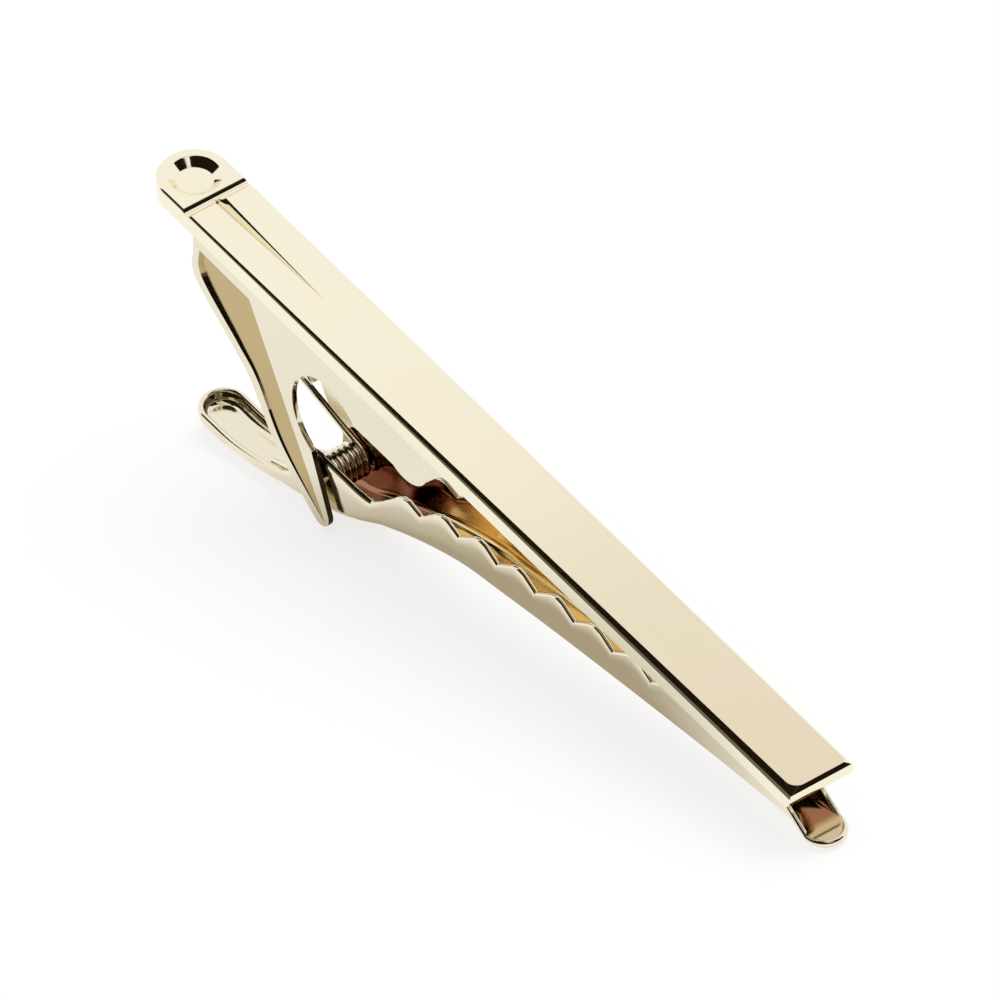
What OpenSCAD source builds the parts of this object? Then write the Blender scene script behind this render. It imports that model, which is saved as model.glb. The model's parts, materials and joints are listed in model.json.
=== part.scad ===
// Tie clip: a slim front bar with a sprung, toothed jaw on a folded bracket behind it.
// Sizes are in millimetres. The parts are drawn in the bar's own directions, with X along the bar
// from its round end, Y across it and Z out of its front face, and are then stood on a table.

/* [Bar] */
// Length of the front bar
bar_l = 58; // [54:1:64]
// Width of the front bar
bar_w = 4.2; // [3.9:0.1:4.8]
// Thickness of the front bar
bar_t = 1.2; // [1.1:0.05:1.4]
// Width of the polished edge bevel at the round end
bevel_rear = 0.05; // [0.03:0.01:0.1]
// Width of the polished edge bevel at the square end
bevel_front = 0.45; // [0.3:0.05:0.5]
// Width of the bevel across the square end
bevel_end = 0.3; // [0.2:0.05:0.4]
// Radius of the round dish in the round end
dish_r = 1.45; // [1.2:0.05:1.6]
// Depth of the round dish
dish_depth = 0.4; // [0.2:0.05:0.5]
// Distance from the round end to the cross groove
cross_x = 4.15; // [4.05:0.05:4.6]
// Radius of the cross groove's cutter
cross_r = 0.4; // [0.3:0.05:0.5]
// Depth of the cross groove
cross_depth = 0.2; // [0.1:0.05:0.3]
// Distance from the round end to the point of the tapered flute
flute_end_x = 13.7; // [12:0.1:15]
// Width of the tapered flute at its wide end
flute_w = 0.7; // [0.5:0.05:0.9]
// Depth of the tapered flute
flute_depth = 0.35; // [0.2:0.05:0.45]

/* [Bracket] */
// Thickness of the sheet that the bracket and the jaw are pressed from
sheet_t = 0.32; // [0.28:0.02:0.36]
// Distance from the bar's round end to the back of the bracket
bracket_x = 4.8; // [4.6:0.1:5.2]
// Length of the bracket along the bar
bracket_l = 22.5; // [21.7:0.1:23.4]
// Distance from the bracket's back to the middle of the arch
arch_x = 12.45; // [12.25:0.05:12.65]
// Distance from the front face to the middle of the arch
arch_drop = 6; // [5.9:0.1:6.2]
// Radius of the arch through both cheeks
arch_r = 3.55; // [3.4:0.05:3.6]
// Distance from the bracket's back to the middle of a foot
foot_x = 11.45; // [11.2:0.05:11.7]
// Distance from the front face to the middle of a foot
foot_drop = 13.35; // [13.1:0.05:13.6]
// Radius of a foot's round end
foot_r = 0.95; // [0.9:0.01:1]
// Distance from the bracket's back to the middle of a front lobe
lobe_x = 19.1; // [18.8:0.05:19.4]
// Distance from the front face to the middle of a front lobe
lobe_drop = 2; // [1.9:0.05:2.2]
// Radius of a front lobe
lobe_r = 2.15; // [2.05:0.05:2.25]
// Distance from the front face to the top of the slot in the rear web
slot_drop = 7.8; // [7.6:0.1:8]
// Half width of the slot in the rear web
slot_r = 1.1; // [1:0.05:1.2]
// How far the web lies inside the rear edges of the cheeks
web_inset = 0.06; // [0.04:0.01:0.1]
// Width of the raised rim along a cheek's rear edge
rim_w = 0.75; // [0.6:0.05:0.9]
// Slope of the panel between a cheek's flat and its rim, in degrees
panel_slope = 2.5; // [1.5:0.5:3]

/* [Pivot] */
// How far the pivot lies behind the middle of the feet
pivot_back = 0.65; // [0.6:0.05:0.75]
// How far the pivot lies over the middle of the feet
pivot_up = 2.05; // [1.9:0.05:2.2]
// Radius of the pivot pin
pin_r = 0.45; // [0.41:0.01:0.49]
// Radial play of the jaw on the pin
pin_play = 0.03; // [0.02:0.01:0.05]
// Radial gap left round the pin where it is staked in the cheeks
pin_seat = 0.01; // [0.01:0.01:0.02]

/* [Jaw] */
// How far the jaw's tip reaches past the bar's square end
tip_overhang = 1.6; // [1.2:0.1:2]
// Drop from the bar's underside to the rim at the jaw's tip
tip_drop = 2.2; // [2:0.05:2.4]
// Reach of the thumb tab from the pivot to its end
tab_reach = 12.3; // [11.8:0.05:12.8]
// Gap between the coil and the floor of the channel
coil_floor_gap = 0.9; // [0.7:0.05:1.1]
// Fall of the underside from below the pivot to the tab's end
keel_fall = 3; // [2.7:0.05:3.3]
// Height of the flanks over the underside
flank_h = 3.1; // [3:0.05:3.2]
// Radius of the ears round the pivot
ear_r = 1.8; // [1.7:0.05:1.9]
// Gap between each ear and the cheek beside it
ear_gap = 0.18; // [0.12:0.02:0.2]
// How much each flank draws in just ahead of the ears
throat_inset = 0.18; // [0.1:0.02:0.22]
// How much each flank draws in at the neck of the thumb tab
neck_inset = 0.15; // [0.06:0.01:0.2]
// Radius of the jaw's round tip, seen from above
tip_r = 1.28; // [1.2:0.02:1.36]
// Height of the rim at the jaw's tip
tip_rim_h = 0.55; // [0.5:0.05:0.65]
// Radius of the thumb tab's round end, seen from above
tab_r = 1.45; // [1.4:0.05:1.5]
// Height of the rim round the thumb tab
tab_rim_h = 0.9; // [0.8:0.05:1]
// Distance from the pivot to the root of the first tooth
teeth_x = 5.4; // [5.2:0.05:5.6]
// Distance between teeth
tooth_pitch = 3.4; // [3.3:0.05:3.5]
// Depth of a tooth
tooth_depth = 0.85; // [0.7:0.05:1]
// Number of teeth on each flank
tooth_count = 7; // [4:1:7]
// Gap between the closed jaw and the bar
jaw_gap = 0.05; // [0.03:0.01:0.1]

/* [Spring] */
// Thickness of the spring wire
wire_d = 0.4; // [0.36:0.01:0.42]
// Radial gap between the coil and the pin
coil_play = 0.27; // [0.22:0.01:0.28]
// Gap between each end of the coil and the flank beside it
coil_end_gap = 0.055; // [0.045:0.005:0.065]
// Full turns of the coil, to which the legs add half a turn
coil_turns = 2; // [1:1:2]
// Length of the leg that bears under the web
web_leg_l = 6.1; // [5.6:0.1:6.4]
// Rise of the web leg from the bar's direction, in degrees
web_leg_rise = 12; // [11:0.5:13]
// Gap between the web leg and the lower edge of the web above it
web_leg_gap = 0.05; // [0.02:0.01:0.08]
// Length of the leg that lies in the thumb tab
tab_leg_l = 5.6; // [5:0.1:6]
// How far the tab leg's end lies in from the end of the coil
tab_leg_in = 0.5; // [0.4:0.05:0.7]
// Gap between the tab leg's end and the floor of the tab
tab_leg_gap = 0.04; // [0.02:0.01:0.08]

/* [Hidden] */

$fn = 64;
// Sides of the spring wire and rings for each turn
wire_sides = 6;
coil_rings = 8;
// How far every cut runs past the surface it opens
over = bar_t / 2;

// Places along the bar and below its front face
arch = [bracket_x + arch_x, -arch_drop];
foot = [bracket_x + foot_x, -foot_drop];
pivot = foot + [-pivot_back, pivot_up];
lobe = [bracket_x + lobe_x, -lobe_drop];
plate_z = -bar_t - sheet_t;
cheek_y = bar_w / 2;
foot_bottom = foot_drop + foot_r;

// Half widths of the jaw at its ears, ahead of them and at its neck
ear_y = cheek_y - sheet_t - ear_gap;
throat_y = ear_y - throat_inset;
neck_y = ear_y - neck_inset;

// Size of the coil
coil_r = pin_r + coil_play + wire_d / 2;
coil_half = ear_y - sheet_t - coil_end_gap - wire_d / 2;

// Ends and heights of the jaw
jaw_end_x = bar_l + tip_overhang;
jaw_reach = jaw_end_x - pivot[0];
tab_end_x = pivot[0] - tab_reach;
keel_z = pivot[1] - coil_r - wire_d / 2 - coil_floor_gap - sheet_t;
jaw_end_z = -bar_t - tip_drop - tip_rim_h;
keel_rise = jaw_end_z - keel_z;
jaw_top_z = -bar_t - jaw_gap;

// The clip stands on its two feet and the tip of its jaw: the tilt is that of the line
// that touches both feet's round ends and passes through the tip
to_tip = [jaw_end_x, jaw_end_z] - foot;
tilt = atan2(to_tip[1], to_tip[0]) + asin(foot_r / norm(to_tip));
stand_z = jaw_end_x * sin(tilt) - jaw_end_z * cos(tilt);
rear_reach = min(-bar_t * sin(tilt), tab_end_x * cos(tilt) + (keel_z - keel_fall) * sin(tilt));
front_reach = max(bar_l * cos(tilt), jaw_end_x * cos(tilt) + (jaw_end_z + tip_rim_h) * sin(tilt));
stand_x = -(rear_reach + front_reach) / 2;

// Rear edge of a cheek, as shares of the foot's reach behind the bracket's back and of its depth
rear_edge_shares = [[0, 0.162], [0.018, 0.294], [0.313, 0.466], [0.459, 0.559], [0.655, 0.779]];
// Points put between two points of the rear edge
edge_steps = 3;
// Where the front edge of a leg starts at the arch, as shares of the same two sizes
leg_front_shares = [[0.948, 0.643]];
// Angles at which the arch ends ahead and the front lobe ends ahead
arch_end_angle = 36;
lobe_end_angle = 335;
// Direction in which a cheek's rim is measured in from its rear edge
rim_in_angle = 40;
// Two places on the crease between flat and sloping panel, as shares of the same sizes
crease_shares = [[0.445, 0.133], [0.716, 0.497]];

// Underside of the jaw ahead of the pivot and behind it, as shares of reach and of rise or fall
keel_front_shares = [
    [0.037, 0.063], [0.12, 0.268], [0.201, 0.44], [0.282, 0.571], [0.363, 0.645],
    [0.484, 0.745], [0.644, 0.862], [0.803, 0.969], [0.941, 1.034], [1, 1]
];
keel_rear_shares = [[1, 1], [0.86, 1], [0.691, 0.97], [0.482, 0.77], [0.236, 0.403], [0, 0]];
// Points put between two points of the underside, and steps round the end of an outline
keel_steps = 3;
end_steps = 20;
// Place of a tooth's point between its roots, and half width of the blunt point, as shares of the
// pitch, and the blunt point's fall as a share of the depth
peak_share = 0.54;
point_share = 0.14;
point_fall_share = 0.14;
// Where the flanks fall to the tip's rim, as shares of the reach
tip_fall_shares = [0.886, 0.97];
// Where the plain edge starts ahead of the last root, as a share of the pitch, and steps along it
plain_share = 0.5;
plain_steps = 5;
// Teeth on each flank, as far as there is room for them behind the fall to the tip
teeth_room = tip_fall_shares[0] * jaw_reach - teeth_x;
teeth = min(tooth_count, floor(teeth_room / tooth_pitch - plain_share));
// Where the ears' top ends ahead, as a share of their radius
ear_top_share = 2.45;
// Where the ears and the neck change width, as shares of the ear's radius and the tab's reach
ear_end_shares = [1.7, 3];
neck_end_shares = [0.15, 0.33];

// Point between b and c on a smooth curve through a, b, c and d
function curve_at(a, b, c, d, t) =
    (2 * b + (c - a) * t + (2 * a - 5 * b + 4 * c - d) * t * t + (3 * b - a - 3 * c + d) * t * t * t) / 2;

// Angle at which a line from p touches a circle, with turn 1 or -1 for the side that it passes
function tangent_angle(p, centre, r, turn) =
    let (v = p - centre)
    atan2(v[1], v[0]) + turn * acos(r / norm(v));

// Points of an arc between two angles
function arc(centre, r, a0, a1, steps) =
    [for (i = [0 : steps]) let (a = a0 + (a1 - a0) * i / steps) centre + r * [cos(a), sin(a)]];

// Points of a smooth curve through all points of a list
function smooth(p, steps) = concat(
    [for (i = [0 : len(p) - 2], s = [0 : steps - 1])
        curve_at(p[max(i - 1, 0)], p[i], p[i + 1], p[min(i + 2, len(p) - 1)], s / steps)],
    [p[len(p) - 1]]);

// Points of the jaw's underside, from the tab's end to the tip
keel = smooth(concat(
    [for (s = keel_rear_shares) [pivot[0] - s[0] * tab_reach, keel_z - s[1] * keel_fall]],
    [for (s = keel_front_shares) [pivot[0] + s[0] * jaw_reach, keel_z + s[1] * keel_rise]]), keel_steps);

// Height of the underside, and of the flanks' top edge ahead of the pivot, at a place
function keel_at(x) = lookup(x, keel);
function flank_at(x) = min(keel_at(x) + flank_h, jaw_top_z);

// Points of one tooth, from its point's front to its point's back
function tooth(i) =
    let (x = pivot[0] + teeth_x + (i + peak_share) * tooth_pitch, blunt = point_share * tooth_pitch,
        fall = point_fall_share * tooth_depth)
    [[x + blunt, flank_at(x + blunt) - fall], [x, flank_at(x)], [x - blunt, flank_at(x - blunt) - fall]];

// Point at the root between two teeth
function root(i) =
    let (x = pivot[0] + teeth_x + i * tooth_pitch)
    [x, flank_at(x) - tooth_depth];

// Places on a cheek from a table of shares
function on_cheek(shares) = [for (s = shares) [bracket_x + s[0] * foot_x, -s[1] * foot_bottom]];

// Rear edge of a cheek, which ends where it touches the foot's round end
rear_points = on_cheek(rear_edge_shares);
foot_start = tangent_angle(rear_points[len(rear_points) - 1], foot, foot_r, 1);
rear_edge = smooth(concat(rear_points, [foot + foot_r * [cos(foot_start), sin(foot_start)]]), edge_steps);

// Places along the spring: the web leg, the coil and the tab leg, as [x, y, z]
web_leg_dir = [-cos(web_leg_rise), sin(web_leg_rise)];
web_leg_from = pivot + coil_r * [sin(web_leg_rise), cos(web_leg_rise)];
tab_leg_x = pivot[0] - tab_leg_l;
tab_leg_end = [tab_leg_x, keel_at(tab_leg_x) + sheet_t + tab_leg_gap + wire_d / 2];
to_leg_end = tab_leg_end - pivot;
tab_leg_angle = atan2(to_leg_end[1], to_leg_end[0]) + acos(coil_r / norm(to_leg_end));
start_angle = 90 - web_leg_rise;
swept = 360 * coil_turns + (start_angle - tab_leg_angle + 720) % 360;
ring_count = round(coil_rings * swept / 360);
spring_path = concat(
    [[web_leg_from[0] + web_leg_l * web_leg_dir[0], coil_half, web_leg_from[1] + web_leg_l * web_leg_dir[1]]],
    [for (i = [0 : ring_count])
        let (a = start_angle - swept * i / ring_count)
        [pivot[0] + coil_r * cos(a), coil_half * (1 - 2 * i / ring_count), pivot[1] + coil_r * sin(a)]],
    [[tab_leg_end[0], tab_leg_in - coil_half, tab_leg_end[1]]]);

function unit(v) = v / norm(v);

// Direction of a path at one of its points
function path_dir(p, i) = unit(p[min(i + 1, len(p) - 1)] - p[max(i - 1, 0)]);

// Ring of points round a path: the path never runs along Y, so Y gives each ring its start
function ring(p, i) =
    let (d = path_dir(p, i), u = unit(cross(d, [0, 1, 0])), v = cross(u, d))
    [for (k = [0 : wire_sides - 1])
        let (a = 360 * (k + 0.5) / wire_sides)
        p[i] + wire_d / 2 * (u * cos(a) + v * sin(a))];

// Least gap between turns of the coil, measured from points to points of the next turn
coil_points = [for (i = [1 : len(spring_path) - 2]) spring_path[i]];
turn_gaps = [for (i = [0 : len(coil_points) - 1], j = [i + coil_rings - 2 : 1 : len(coil_points) - 1])
    norm(coil_points[j] - coil_points[i]) - wire_d];
echo(least_gap_between_turns = min(turn_gaps));

// Moves what is drawn in the bar's directions to where the clip stands on the table
module stand() {
    translate([stand_x, 0, stand_z]) rotate([0, tilt, 0]) children();
}

// Extrudes an outline of X and Z across the clip, between two places on Y
module across(y0, y1) {
    translate([0, y1, 0]) rotate([90, 0, 0]) linear_extrude(y1 - y0) children();
}

// Cutter for one long edge: a wedge whose width grows along the bar
module edge_bevel() {
    turn = atan2(bevel_front - bevel_rear, bar_l);
    translate([0, -bar_w / 2 + bevel_rear, 0])
        rotate([0, 0, turn])
            rotate([90, 0, 90])
                translate([0, 0, -bar_w])
                    linear_extrude(bar_l + 2 * bar_w)
                        polygon([[over, over], [-bar_t, over], [-bar_t, -bar_t]]);
}

// Cutter for the bevel across the square end
module end_bevel() {
    across(-bar_w / 2 - over, bar_w / 2 + over)
        polygon([
            [bar_l - bevel_end - over, over], [bar_l + over, over], [bar_l + over, -bevel_end - over]
        ]);
}

// Front bar with its round dish, cross groove and tapered flute
module front_bar() color([0.93, 0.87, 0.74]) stand() {
    flute_x = cross_x;
    difference() {
        translate([0, 0, -bar_t]) linear_extrude(bar_t) {
            translate([bar_w / 2, 0]) circle(bar_w / 2);
            translate([bar_w / 2, -bar_w / 2]) square([bar_l - bar_w / 2, bar_w]);
        }
        edge_bevel();
        mirror([0, 1, 0]) edge_bevel();
        end_bevel();
        translate([bar_w / 2, 0, -dish_depth]) cylinder(h = dish_depth + over, r = dish_r);
        translate([cross_x, 0, cross_r - cross_depth])
            rotate([90, 0, 0]) cylinder(h = bar_w + 2 * over, r = cross_r, center = true);
        translate([0, 0, -flute_depth]) linear_extrude(flute_depth + over)
            polygon([[flute_x, -flute_w / 2], [flute_end_x, 0], [flute_x, flute_w / 2]]);
    }
}

// Outline of a cheek: rear edge, foot, leg, arch, front lobe and the edge along the bar
module cheek_outline() {
    leg = on_cheek(leg_front_shares);
    foot_end = 360 + tangent_angle(leg[0], foot, foot_r, -1);
    arch_end_z = arch[1] + arch_r * sin(arch_end_angle);
    lobe_start = 180 - asin((arch_end_z - lobe[1]) / lobe_r);
    difference() {
        polygon(concat(
            [[bracket_x, -bar_t]], rear_edge, arc(foot, foot_r, foot_start, foot_end, end_steps),
            leg, [[arch[0], arch_end_z]], arc(lobe, lobe_r, lobe_start, lobe_end_angle, end_steps),
            [[bracket_x + bracket_l, -bar_t]]));
        translate(arch) circle(arch_r);
        translate(pivot) circle(pin_r + pin_seat);
    }
}

// Shallow wedge that slopes a cheek's rear panel inwards from the crease to the rim
module panel_cut() {
    crease = on_cheek(crease_shares);
    run = crease[1] - crease[0];
    lean = atan2(run[0], -run[1]);
    crease_foot = crease[0] + run * (foot_bottom + crease[0][1]) / -run[1];
    inward = rim_w * [cos(rim_in_angle), sin(rim_in_angle)];
    intersection() {
        across(-cheek_y - over, -cheek_y + sheet_t)
            polygon(concat(
                [for (p = rear_edge) p + inward],
                [foot - [0, foot_r / 2], crease_foot + [over, 0], crease[0] + [over, 0]]));
        translate([crease[0][0], -cheek_y, crease[0][1]])
            rotate([0, -lean, 0]) rotate([0, 0, -panel_slope])
                translate([-bracket_l, -bar_w, -bracket_l]) cube([bracket_l, bar_w, 2 * bracket_l]);
    }
}

// Outline of the web: a strip just inside the rear edge, cut off just over the spring's web leg
module web_outline() {
    path = concat([[bracket_x, -bar_t]], rear_edge);
    inwards = [for (i = [0 : len(path) - 1]) let (d = path_dir(path, i)) [-d[1], d[0]]];
    leg_slope = tan(web_leg_rise);
    leg_top = web_leg_from[1] + wire_d / 2 / cos(web_leg_rise) + web_leg_gap;
    leg_top_behind = leg_top + (web_leg_from[0] - bracket_x) * leg_slope;
    below = -foot_bottom - over;
    difference() {
        polygon(concat(
            [for (i = [0 : len(path) - 1]) path[i] + web_inset * inwards[i]],
            [for (i = [len(path) - 1 : -1 : 0]) path[i] + (web_inset + sheet_t) * inwards[i]]));
        polygon([
            [bracket_x, leg_top_behind], [web_leg_from[0], leg_top],
            [foot[0] + foot_r, leg_top], [foot[0] + foot_r, below], [bracket_x, below]
        ]);
    }
}

// Folded bracket: plate under the bar, two cheeks with feet, and a slotted web behind
module clip_bracket() color([0.9, 0.88, 0.79]) stand() {
    inner_y = cheek_y - sheet_t / 2;
    difference() {
        union() {
            translate([bracket_x + web_inset, -inner_y, plate_z])
                cube([bracket_l - sheet_t, 2 * inner_y, sheet_t]);
            for (side = [0, 1]) mirror([0, side, 0]) difference() {
                across(-cheek_y, -cheek_y + sheet_t) cheek_outline();
                panel_cut();
            }
            across(-inner_y, inner_y) web_outline();
        }
        // The slot has a round top and runs out of the web's lower edge
        rotate([90, 0, 90]) linear_extrude(foot[0])
            polygon(concat(
                arc([0, -slot_drop - slot_r], slot_r, 0, 180, end_steps),
                [[-slot_r, -foot_bottom], [slot_r, -foot_bottom]]));
    }
}

// Side outline of the jaw, with its teeth, ears, neck and thumb tab
module jaw_side() {
    tab_x = pivot[0] - tab_reach / 2;
    tip_x = [for (s = tip_fall_shares) pivot[0] + s * jaw_reach];
    plain_x = pivot[0] + teeth_x + (teeth + plain_share) * tooth_pitch;
    rim_z = jaw_end_z + tip_rim_h;
    neck_x = pivot[0] - neck_end_shares[1] * tab_reach;
    polygon(concat(
        keel,
        [[jaw_end_x, rim_z], [tip_x[1], rim_z], [tip_x[0], jaw_top_z]],
        [for (i = [plain_steps - 1 : -1 : 0])
            let (x = plain_x + (tip_x[0] - plain_x) * i / plain_steps)
            [x, flank_at(x)]],
        [for (i = [teeth - 1 : -1 : 0]) each concat([root(i + 1)], tooth(i))],
        [root(0), pivot + ear_r * [ear_top_share, 1], pivot + [0, ear_r], pivot,
            [neck_x, keel_at(neck_x) + tab_rim_h], [tab_x, keel_at(tab_x) + tab_rim_h],
            [tab_end_x, keel_z - keel_fall + tab_rim_h]]));
    intersection() {
        translate(pivot) circle(ear_r);
        polygon(concat(keel, [[jaw_end_x, 0], [tab_end_x, 0]]));
    }
}

// Plan of the jaw at a distance inside its outer faces
module jaw_plan(inset) {
    ear_x = [for (s = ear_end_shares) pivot[0] + s * ear_r];
    neck_x = [for (s = neck_end_shares) pivot[0] - s * tab_reach];
    tip = jaw_end_x - tip_r;
    tab = tab_end_x + tab_r;
    middle = [
        [neck_x[1], neck_y - inset], [neck_x[0], ear_y - inset],
        [ear_x[0], ear_y - inset], [ear_x[1], throat_y - inset]
    ];
    tab_side = tangent_angle(middle[0], [tab, 0], tab_r - inset, 1);
    tip_side = tangent_angle(middle[3], [tip, 0], tip_r - inset, -1);
    polygon(concat(
        middle,
        arc([tip, 0], tip_r - inset, tip_side, -tip_side, end_steps),
        [for (i = [len(middle) - 1 : -1 : 0]) [middle[i][0], -middle[i][1]]],
        arc([tab, 0], tab_r - inset, 360 - tab_side, tab_side, end_steps)));
}

// Jaw: one pressed channel with a toothed mouth ahead of its ears and a thumb tab behind
module jaw_lever() color([0.73, 0.68, 0.56]) stand() {
    difference() {
        intersection() {
            across(-bar_w, bar_w) jaw_side();
            translate([0, 0, -foot_bottom - bar_w]) linear_extrude(foot_bottom + bar_w) jaw_plan(0);
        }
        intersection() {
            across(-bar_w, bar_w) polygon(concat(
                [for (p = keel) p + [0, sheet_t]],
                [[jaw_end_x, 0], [tab_end_x, 0]]));
            translate([0, 0, -foot_bottom - bar_w]) linear_extrude(foot_bottom + bar_w) jaw_plan(sheet_t);
        }
        across(-bar_w, bar_w) translate(pivot) circle(pin_r + pin_play);
    }
}

// Torsion spring: one wire with a leg under the web, a coil round the pin and a leg in the tab
module torsion_spring() color([0.8, 0.77, 0.66]) stand() {
    n = len(spring_path);
    last = (n - 1) * wire_sides;
    polyhedron(
        points = [for (i = [0 : n - 1]) each ring(spring_path, i)],
        faces = concat(
            [for (i = [0 : n - 2], k = [0 : wire_sides - 1])
                let (a = i * wire_sides + k, b = i * wire_sides + (k + 1) % wire_sides)
                each [[a, b, a + wire_sides], [b, b + wire_sides, a + wire_sides]]],
            [for (k = [1 : wire_sides - 2]) [0, k + 1, k]],
            [for (k = [1 : wire_sides - 2]) [last, last + k, last + k + 1]]));
}

// Pin staked flush in both cheeks
module pivot_pin() color([0.82, 0.78, 0.66]) stand() {
    across(-cheek_y, cheek_y) translate(pivot) circle(pin_r);
}

front_bar();
clip_bracket();
jaw_lever();
torsion_spring();
pivot_pin();
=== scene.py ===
"""Tie clip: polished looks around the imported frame. Pieces are drawn in millimetres in the bar's own
directions, with X along the bar from its round end, Y across it and Z out of its front face, and are
then stood on the table as the frame is."""
import bpy
import bmesh
import json
import math
from mathutils import Matrix, Vector


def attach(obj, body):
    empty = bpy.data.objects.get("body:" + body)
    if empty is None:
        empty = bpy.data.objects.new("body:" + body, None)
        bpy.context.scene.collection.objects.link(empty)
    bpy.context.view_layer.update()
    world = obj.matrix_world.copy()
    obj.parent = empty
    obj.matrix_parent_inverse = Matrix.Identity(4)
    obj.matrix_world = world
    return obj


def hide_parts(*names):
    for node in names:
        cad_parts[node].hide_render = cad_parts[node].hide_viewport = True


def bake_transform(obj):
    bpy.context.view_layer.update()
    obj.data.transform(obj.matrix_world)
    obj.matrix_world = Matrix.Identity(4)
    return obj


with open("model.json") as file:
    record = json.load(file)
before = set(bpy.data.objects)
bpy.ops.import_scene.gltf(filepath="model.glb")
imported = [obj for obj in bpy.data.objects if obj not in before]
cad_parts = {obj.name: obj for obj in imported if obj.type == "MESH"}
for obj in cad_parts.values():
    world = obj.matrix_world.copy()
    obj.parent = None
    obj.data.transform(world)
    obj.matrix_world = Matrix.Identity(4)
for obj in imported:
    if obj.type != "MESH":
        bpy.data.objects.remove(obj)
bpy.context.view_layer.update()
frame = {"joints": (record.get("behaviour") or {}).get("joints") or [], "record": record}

MM = 0.001
SCENE = bpy.context.scene

# Points nearer than these count as one, and faces within this many degrees count as one flat
MERGE_DIST = 0.0005
FINE_MERGE_DIST = 0.0001
FLAT_ANGLE = 0.4
# Weight of large faces over small ones where they share a shading normal
FLAT_WEIGHT = 60

# Bar. Pairs of values are for its near and its far side
BAR_L = 58
BAR_W = 4.2
BAR_T = 1.2
ROUND_END_STEPS = 72
BEVEL_REAR = 0.1
BEVEL_REAR_SHARE = 0.25
BEVEL_FRONTS = (0.44, 0.25)
BEVEL_LOWERS = (0.11, 0.06)
BEVEL_DEPTH = 0.37
BEVEL_UPPER_DEPTH = 0.2
END_BEVEL = 0.24
END_LOWER = 0.04
END_R = 0.6
END_STEPS = 8
CORNER_FRONT_RS = (0.7, 0.25)
CORNER_FRONT_STEPS = 10
DISH_R = 1.45
DISH_DEPTH = 0.4
DISH_FLOOR_R = 1.08
DISH_LIP = 0.1
DISH_LIP_STEPS = 4
GROOVE_X = 4.15
GROOVE_R = 0.4
GROOVE_DEPTH = 0.2
GROOVE_STEPS = 48
FLUTE_END_X = 13.7
FLUTE_W = 0.7
FLUTE_DEPTH = 0.35
FLUTE_END_SHARE = 0.02
FLUTE_LEVEL_SHARE = 0.4
BAR_EDGE_R = 0.05
BAR_EDGE_STEPS = 3
CRISP_END_L = 1.5
BAR_SHARP_ANGLE = 12

# Bracket
BRACKET_T = 0.32
BRACKET_X = 4.8
BRACKET_L = 22.5
ARCH = (17, -6.1)
ARCH_R = 3.2
ARCH_STEPS = 96
ARCH_END_ANGLE = 43
FOOT = (16.3, -13.1)
FOOT_R = 0.82
FOOT_STEPS = 36
LOBE = (23.9, -2)
LOBE_R = 2.15
LOBE_END_ANGLE = 335
LOBE_STEPS = 24
SLOT_TOP_Z = -7.8
SLOT_R = 1.1
SLOT_STEPS = 24
RIM_W = 0.75
RIM_IN_ANGLE = 40
PANEL_SLOPE = 2.5
FOLD_R = 0.3
FOLD_STEPS = 4
EDGE_R = 0.05
LEG_EDGE_R = 0.25
REAR_EDGE_SHARES = ((0, 0.166), (0.018, 0.302), (0.312, 0.479), (0.457, 0.574), (0.652, 0.8))
REAR_EDGE_STEPS = 10
LEG_FRONT_SHARE = (0.935, 0.65)
CREASE_SHARES = ((0.443, 0.137), (0.713, 0.511))
CHEEK_IN_Y = BAR_W / 2 - BRACKET_T
BELOW_FEET_Z = FOOT[1] - FOOT_R - BAR_T
# How near an edge or face lies to the cheek's outside or to a fold to be counted as on it
OUTSIDE_TOL = 0.01
FOLD_TOL = 0.02
PANEL_TOL = 0.004
# Parts of a face's normal that tell a flat cheek, its sunk panel and its front edge apart
FRONT_EDGE_LEAN = 0.2
FRONT_FACE_LEAN = 0.1
CHEEK_NORMAL = 0.97
PANEL_NORMAL = 0.99

# Jaw
PIVOT = (15.6, -11.3)
SHEET_T = 0.32
JAW_END_X = 59.6
JAW_END_Z = -3.95
TAB_REACH = 12.3
KEEL_Z = -13.64
KEEL_FALL = 3
KEEL_STEPS = 12
FLANK_H = 3.1
JAW_TOP_Z = -1.25
EAR_R = 1.8
EAR_Y = 1.6
EAR_STEPS = 24
THROAT_Y = 1.42
NECK_Y = 1.45
TIP_R = 1.28
TIP_RIM_H = 0.55
TIP_STEPS = 16
TAB_R = 1.45
TAB_RIM_H = 1.15
TAB_STEPS = 20
TEETH_X = 5.4
TOOTH_PITCH = 3.4
TOOTH_DEPTH = 0.85
TOOTH_COUNT = 7
PEAK_SHARE = 0.54
POINT_SHARE = 0.14
PLAIN_SHARE = 0.5
PLAIN_STEPS = 8
CORNER_R = 0.7
CORNER_WALL_SHARE = 0.9
KEEL_FRONT_SHARES = (
    (0.037, 0.063), (0.12, 0.268), (0.201, 0.44), (0.282, 0.571), (0.363, 0.645),
    (0.484, 0.745), (0.644, 0.862), (0.803, 0.969), (0.941, 1.034), (1, 1))
KEEL_REAR_SHARES = ((1, 1), (0.86, 1), (0.691, 0.97), (0.482, 0.77), (0.236, 0.403), (0, 0))
TIP_FALL_SHARES = (0.886, 0.97)
EAR_TOP_SHARE = 2.45
EAR_END_SHARES = (1.7, 3)
NECK_END_SHARES = (0.15, 0.33)
EAR_SLANT = ((13.6, 0), (14.4, 0.36), (19.6, 0.36), (21, 0))
# Pitch and least distance of the places at which the jaw's section is drawn
STATION_PITCH = 0.2
STATION_GAP = 0.02
# Points along each stretch of the section: floor, rounded corner, wall and rounded rim
SECTION_FLOOR = 5
SECTION_CORNER = 7
SECTION_WALL = 3
SECTION_RIM = 6
JAW_SHARP_ANGLE = 50

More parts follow.
